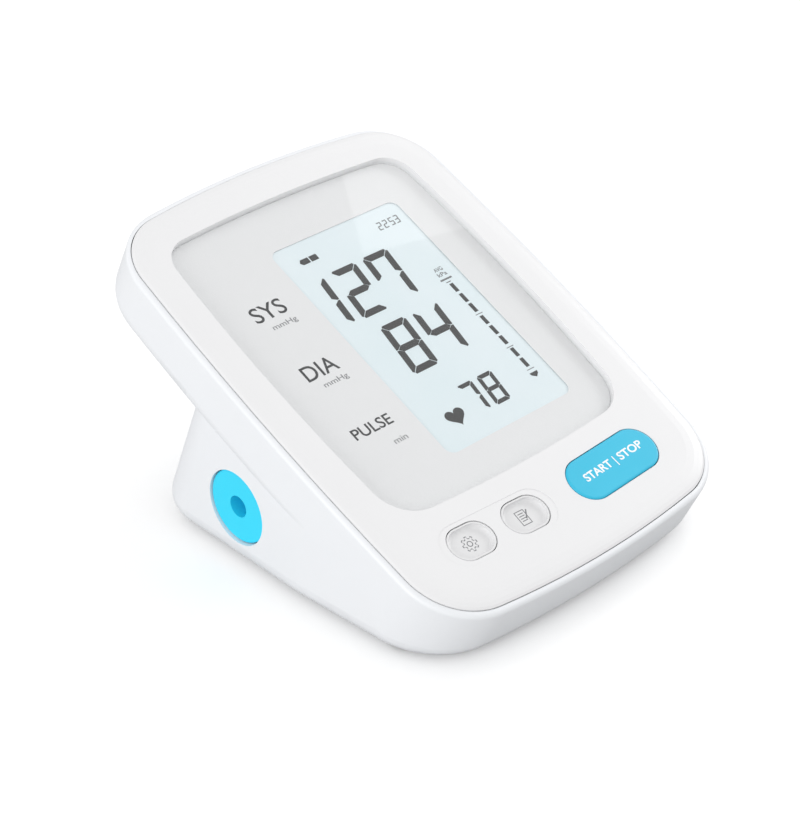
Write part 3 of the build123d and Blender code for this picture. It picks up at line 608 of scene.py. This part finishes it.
def make_start_words():
    middle_u, middle_v, spin = START_LINE
    for name, text, along, width in START_WORDS:
        u = middle_u + along * cos(radians(spin))
        v = middle_v + along * sin(radians(spin))
        u_range = (u - width / 2, u + width / 2)
        v_range = (v - START_CAP / 2, v + START_CAP / 2)
        add_words(
            name, text, u_range, v_range, START_TOP, KEY_INK, "start_key",
            spin=spin, offset=0.22, thick=0.04)


# ---- icons on the small keys
POCKET_FLOOR = -0.3         # bottom of the hollow in a small key
ICON_LIFT = 0.03
PENCIL_LIFT = 0.035         # the pencil lies over the lines of the note
ICON_SPIN = -2.6


def circle(radius, count=32):
    angles = [2 * pi * i / count for i in range(count)]
    return [(radius * cos(angle), radius * sin(angle)) for angle in angles]


def gear_outline(count, root, crest):
    points = []
    step = 2 * pi / count
    for i in range(count):
        middle = step * i
        for share, radius in ((-0.30, root), (-0.18, crest), (0.18, crest), (0.30, root)):
            angle = middle + share * step
            points.append((radius * cos(angle), radius * sin(angle)))
    return points


def make_icons():
    gear = bmesh.new()
    outer = gear_outline(8, 1.62, 2.25)
    inner = gear_outline(8, 1.38, 2.0)
    add_band(gear, outer, inner, 0, ICON_LIFT)
    add_band(gear, circle(0.82), circle(0.6), 0, ICON_LIFT)
    place_icon("icon_gear", gear, "settings_button", "settings_key")

    note = bmesh.new()
    sheet = [(-1.7, -2.1), (1.3, -2.1), (1.3, 2.1), (-1.7, 2.1)]
    inside = [(-1.5, -1.9), (1.1, -1.9), (1.1, 1.9), (-1.5, 1.9)]
    add_band(note, sheet, inside, 0, ICON_LIFT)
    for v in (1.2, 0.5, -0.2, -0.9):
        add_plate(note, stroke(((-1.05, v), (0.65, v)), 0.22), 0, ICON_LIFT)
    add_plate(note, stroke(((0.55, -0.6), (2.05, 1.7)), 0.32), 0, PENCIL_LIFT)
    place_icon("icon_note", note, "memory_button", "memory_key")


def place_icon(name, bm, node, body):
    """Lay an icon drawn round (0, 0) on the floor of a small key's hollow."""
    low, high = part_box(node)
    middle = (low + high) / 2 - ORIGIN
    u = middle.dot(U_AXIS) / MM
    v = key_middle_v(node)
    spin = Matrix.Rotation(radians(ICON_SPIN), 4, "Z")
    for vert in bm.verts:
        spun = spin @ Vector((vert.co.x, vert.co.y, 0))
        vert.co = Vector((u + spun.x, v + spun.y, POCKET_FLOOR + vert.co.z))
    new_piece(name, bm, ICON_INK, body)


def key_middle_v(node):
    ends = [(p - ORIGIN).dot(V_AXIS) / MM for p in node_points(node)]
    return (max(ends) + min(ends)) / 2


# ---------------------------------------------------------------- stage, lights and camera
SKY = 0.86                  # strength of the surrounding light
LIGHTS = (                  # name, place, side and power of the square lights
    ("left", (-1.3, -0.2, 0.35), 0.8, 6.6),
    ("right", (0.72, -0.1, 0.34), 0.3, 1.6),
)
LIGHT_TARGET = (0, 0, 0.04)
FLOOR_HALF = 3.0
FLOOR_BOUNCE = 0.6          # how much light the floor sends back to the object
FLOOR_GLOW = 0.12           # lifts the paper to plain white for the camera
PANEL_FROM = (22.2, 58.5)   # the long side of the panel mirrors through these two places of the window
PANEL_TO = (8.0, 32.7)
PANEL_DISTANCE = 1.0
PANEL_SIZE = (0.5, 0.35)
PANEL_POWER = 0.8
CAMERA_PLACE = (-0.36912, -0.36925, 0.34570)
CAMERA_TURN = (58.650, -0.0824, -44.570)
CAMERA_LENS = 105.366


def make_stage():
    bm = bmesh.new()
    half = FLOOR_HALF
    places = ((-half, -half, 0), (half, -half, 0), (half, half, 0), (-half, half, 0))
    bm.faces.new([bm.verts.new(place) for place in places])
    mesh = bpy.data.meshes.new("floor")
    bm.to_mesh(mesh)
    bm.free()
    floor = bpy.data.objects.new("floor", mesh)
    t = Tree("floor_paper")
    paper = t.blend(t.remap(t.noise(4.0, 2.0), 0.0, 1.0), srgb(250, 250, 250), srgb(253, 253, 253))
    seen = t.add("ShaderNodeMix", data_type="RGBA")
    seen.inputs["A"].default_value = (FLOOR_BOUNCE, FLOOR_BOUNCE, FLOOR_BOUNCE, 1)
    t.link(paper, seen.inputs["B"])
    t.link(t.add("ShaderNodeLightPath").outputs["Is Camera Ray"], seen.inputs["Factor"])
    t.link(seen.outputs["Result"], t.shader.inputs["Base Color"])
    t.link(t.remap(t.noise(12.0), 0.85, 0.95), t.shader.inputs["Roughness"])
    t.shader.inputs["Specular IOR Level"].default_value = 0.0
    glow = t.add("ShaderNodeMath", operation="MULTIPLY")
    glow.inputs[1].default_value = FLOOR_GLOW
    t.link(t.add("ShaderNodeLightPath").outputs["Is Camera Ray"], glow.inputs[0])
    t.shader.inputs["Emission Color"].default_value = (1, 1, 1, 1)
    t.link(glow.outputs["Value"], t.shader.inputs["Emission Strength"])
    # seen from below, the paper lets the object's underside show
    below = t.add("ShaderNodeMixShader")
    t.link(t.add("ShaderNodeNewGeometry").outputs["Backfacing"], below.inputs["Fac"])
    t.link(t.shader.outputs["BSDF"], below.inputs[1])
    t.link(t.add("ShaderNodeBsdfTransparent").outputs["BSDF"], below.inputs[2])
    t.link(below.outputs["Shader"], t.output.inputs["Surface"])
    mesh.materials.append(t.material)
    bpy.context.scene.collection.objects.link(floor)


def add_light(name, size, power):
    light = bpy.data.lights.new(name, "AREA")
    light.shape = "RECTANGLE"
    light.size, light.size_y = size
    light.energy = power
    made = bpy.data.objects.new(name, light)
    bpy.context.scene.collection.objects.link(made)
    return made


def make_lights():
    world = bpy.data.worlds.new("studio")
    bpy.context.scene.world = world
    world.use_nodes = True
    nodes, links = world.node_tree.nodes, world.node_tree.links
    background = nodes["Background"]
    background.inputs["Color"].default_value = (1, 1, 1, 1)
    seen = nodes.new("ShaderNodeMapRange")
    seen.inputs["To Min"].default_value = SKY
    seen.inputs["To Max"].default_value = 1.0
    links.new(nodes.new("ShaderNodeLightPath").outputs["Is Camera Ray"], seen.inputs["Value"])
    links.new(seen.outputs["Result"], background.inputs["Strength"])
    for name, place, size, power in LIGHTS:
        light = add_light(name, (size, size), power)
        light.location = place
        aim = Vector(LIGHT_TARGET) - Vector(place)
        light.rotation_euler = aim.to_track_quat("-Z", "Y").to_euler()


def make_panel():
    """Soft panel whose edge shows as a faint slanting reflection in the window."""
    eye = Vector(CAMERA_PLACE)
    seen = []
    for u, v in (PANEL_FROM, PANEL_TO):
        place = face_point(u, v, WINDOW_TOP)
        ray = (place - eye).normalized()
        seen.append(place + (ray - 2 * ray.dot(W_AXIS) * W_AXIS) * PANEL_DISTANCE)
    middle = (seen[0] + seen[1]) / 2
    along = (seen[0] - seen[1]).normalized()
    back = (middle - face_point(0, 0, 0)).normalized()
    back = (back - back.dot(along) * along).normalized()
    side = along.cross(back)
    if side.x < 0:
        side = -side
    length, width = PANEL_SIZE
    turn = Matrix((along.cross(back), along, back)).transposed().to_4x4()
    centre = seen[1] + along * length / 2 + side * width / 2
    panel = add_light("panel", (width, length), PANEL_POWER)
    panel.matrix_world = Matrix.Translation(centre) @ turn


def make_camera():
    data = bpy.data.cameras.new("camera")
    data.lens = CAMERA_LENS
    data.sensor_width = 36.0
    data.clip_start = 0.01
    data.clip_end = 20.0
    camera = bpy.data.objects.new("camera", data)
    camera.location = CAMERA_PLACE
    camera.rotation_euler = [radians(turn) for turn in CAMERA_TURN]
    bpy.context.scene.collection.objects.link(camera)
    bpy.context.scene.camera = camera


dress_nodes()
make_window()
make_display_drawing()
make_print()
make_start_words()
make_icons()
make_stage()
make_lights()
make_panel()
make_camera()
bpy.context.scene.view_settings.view_transform = "Standard"
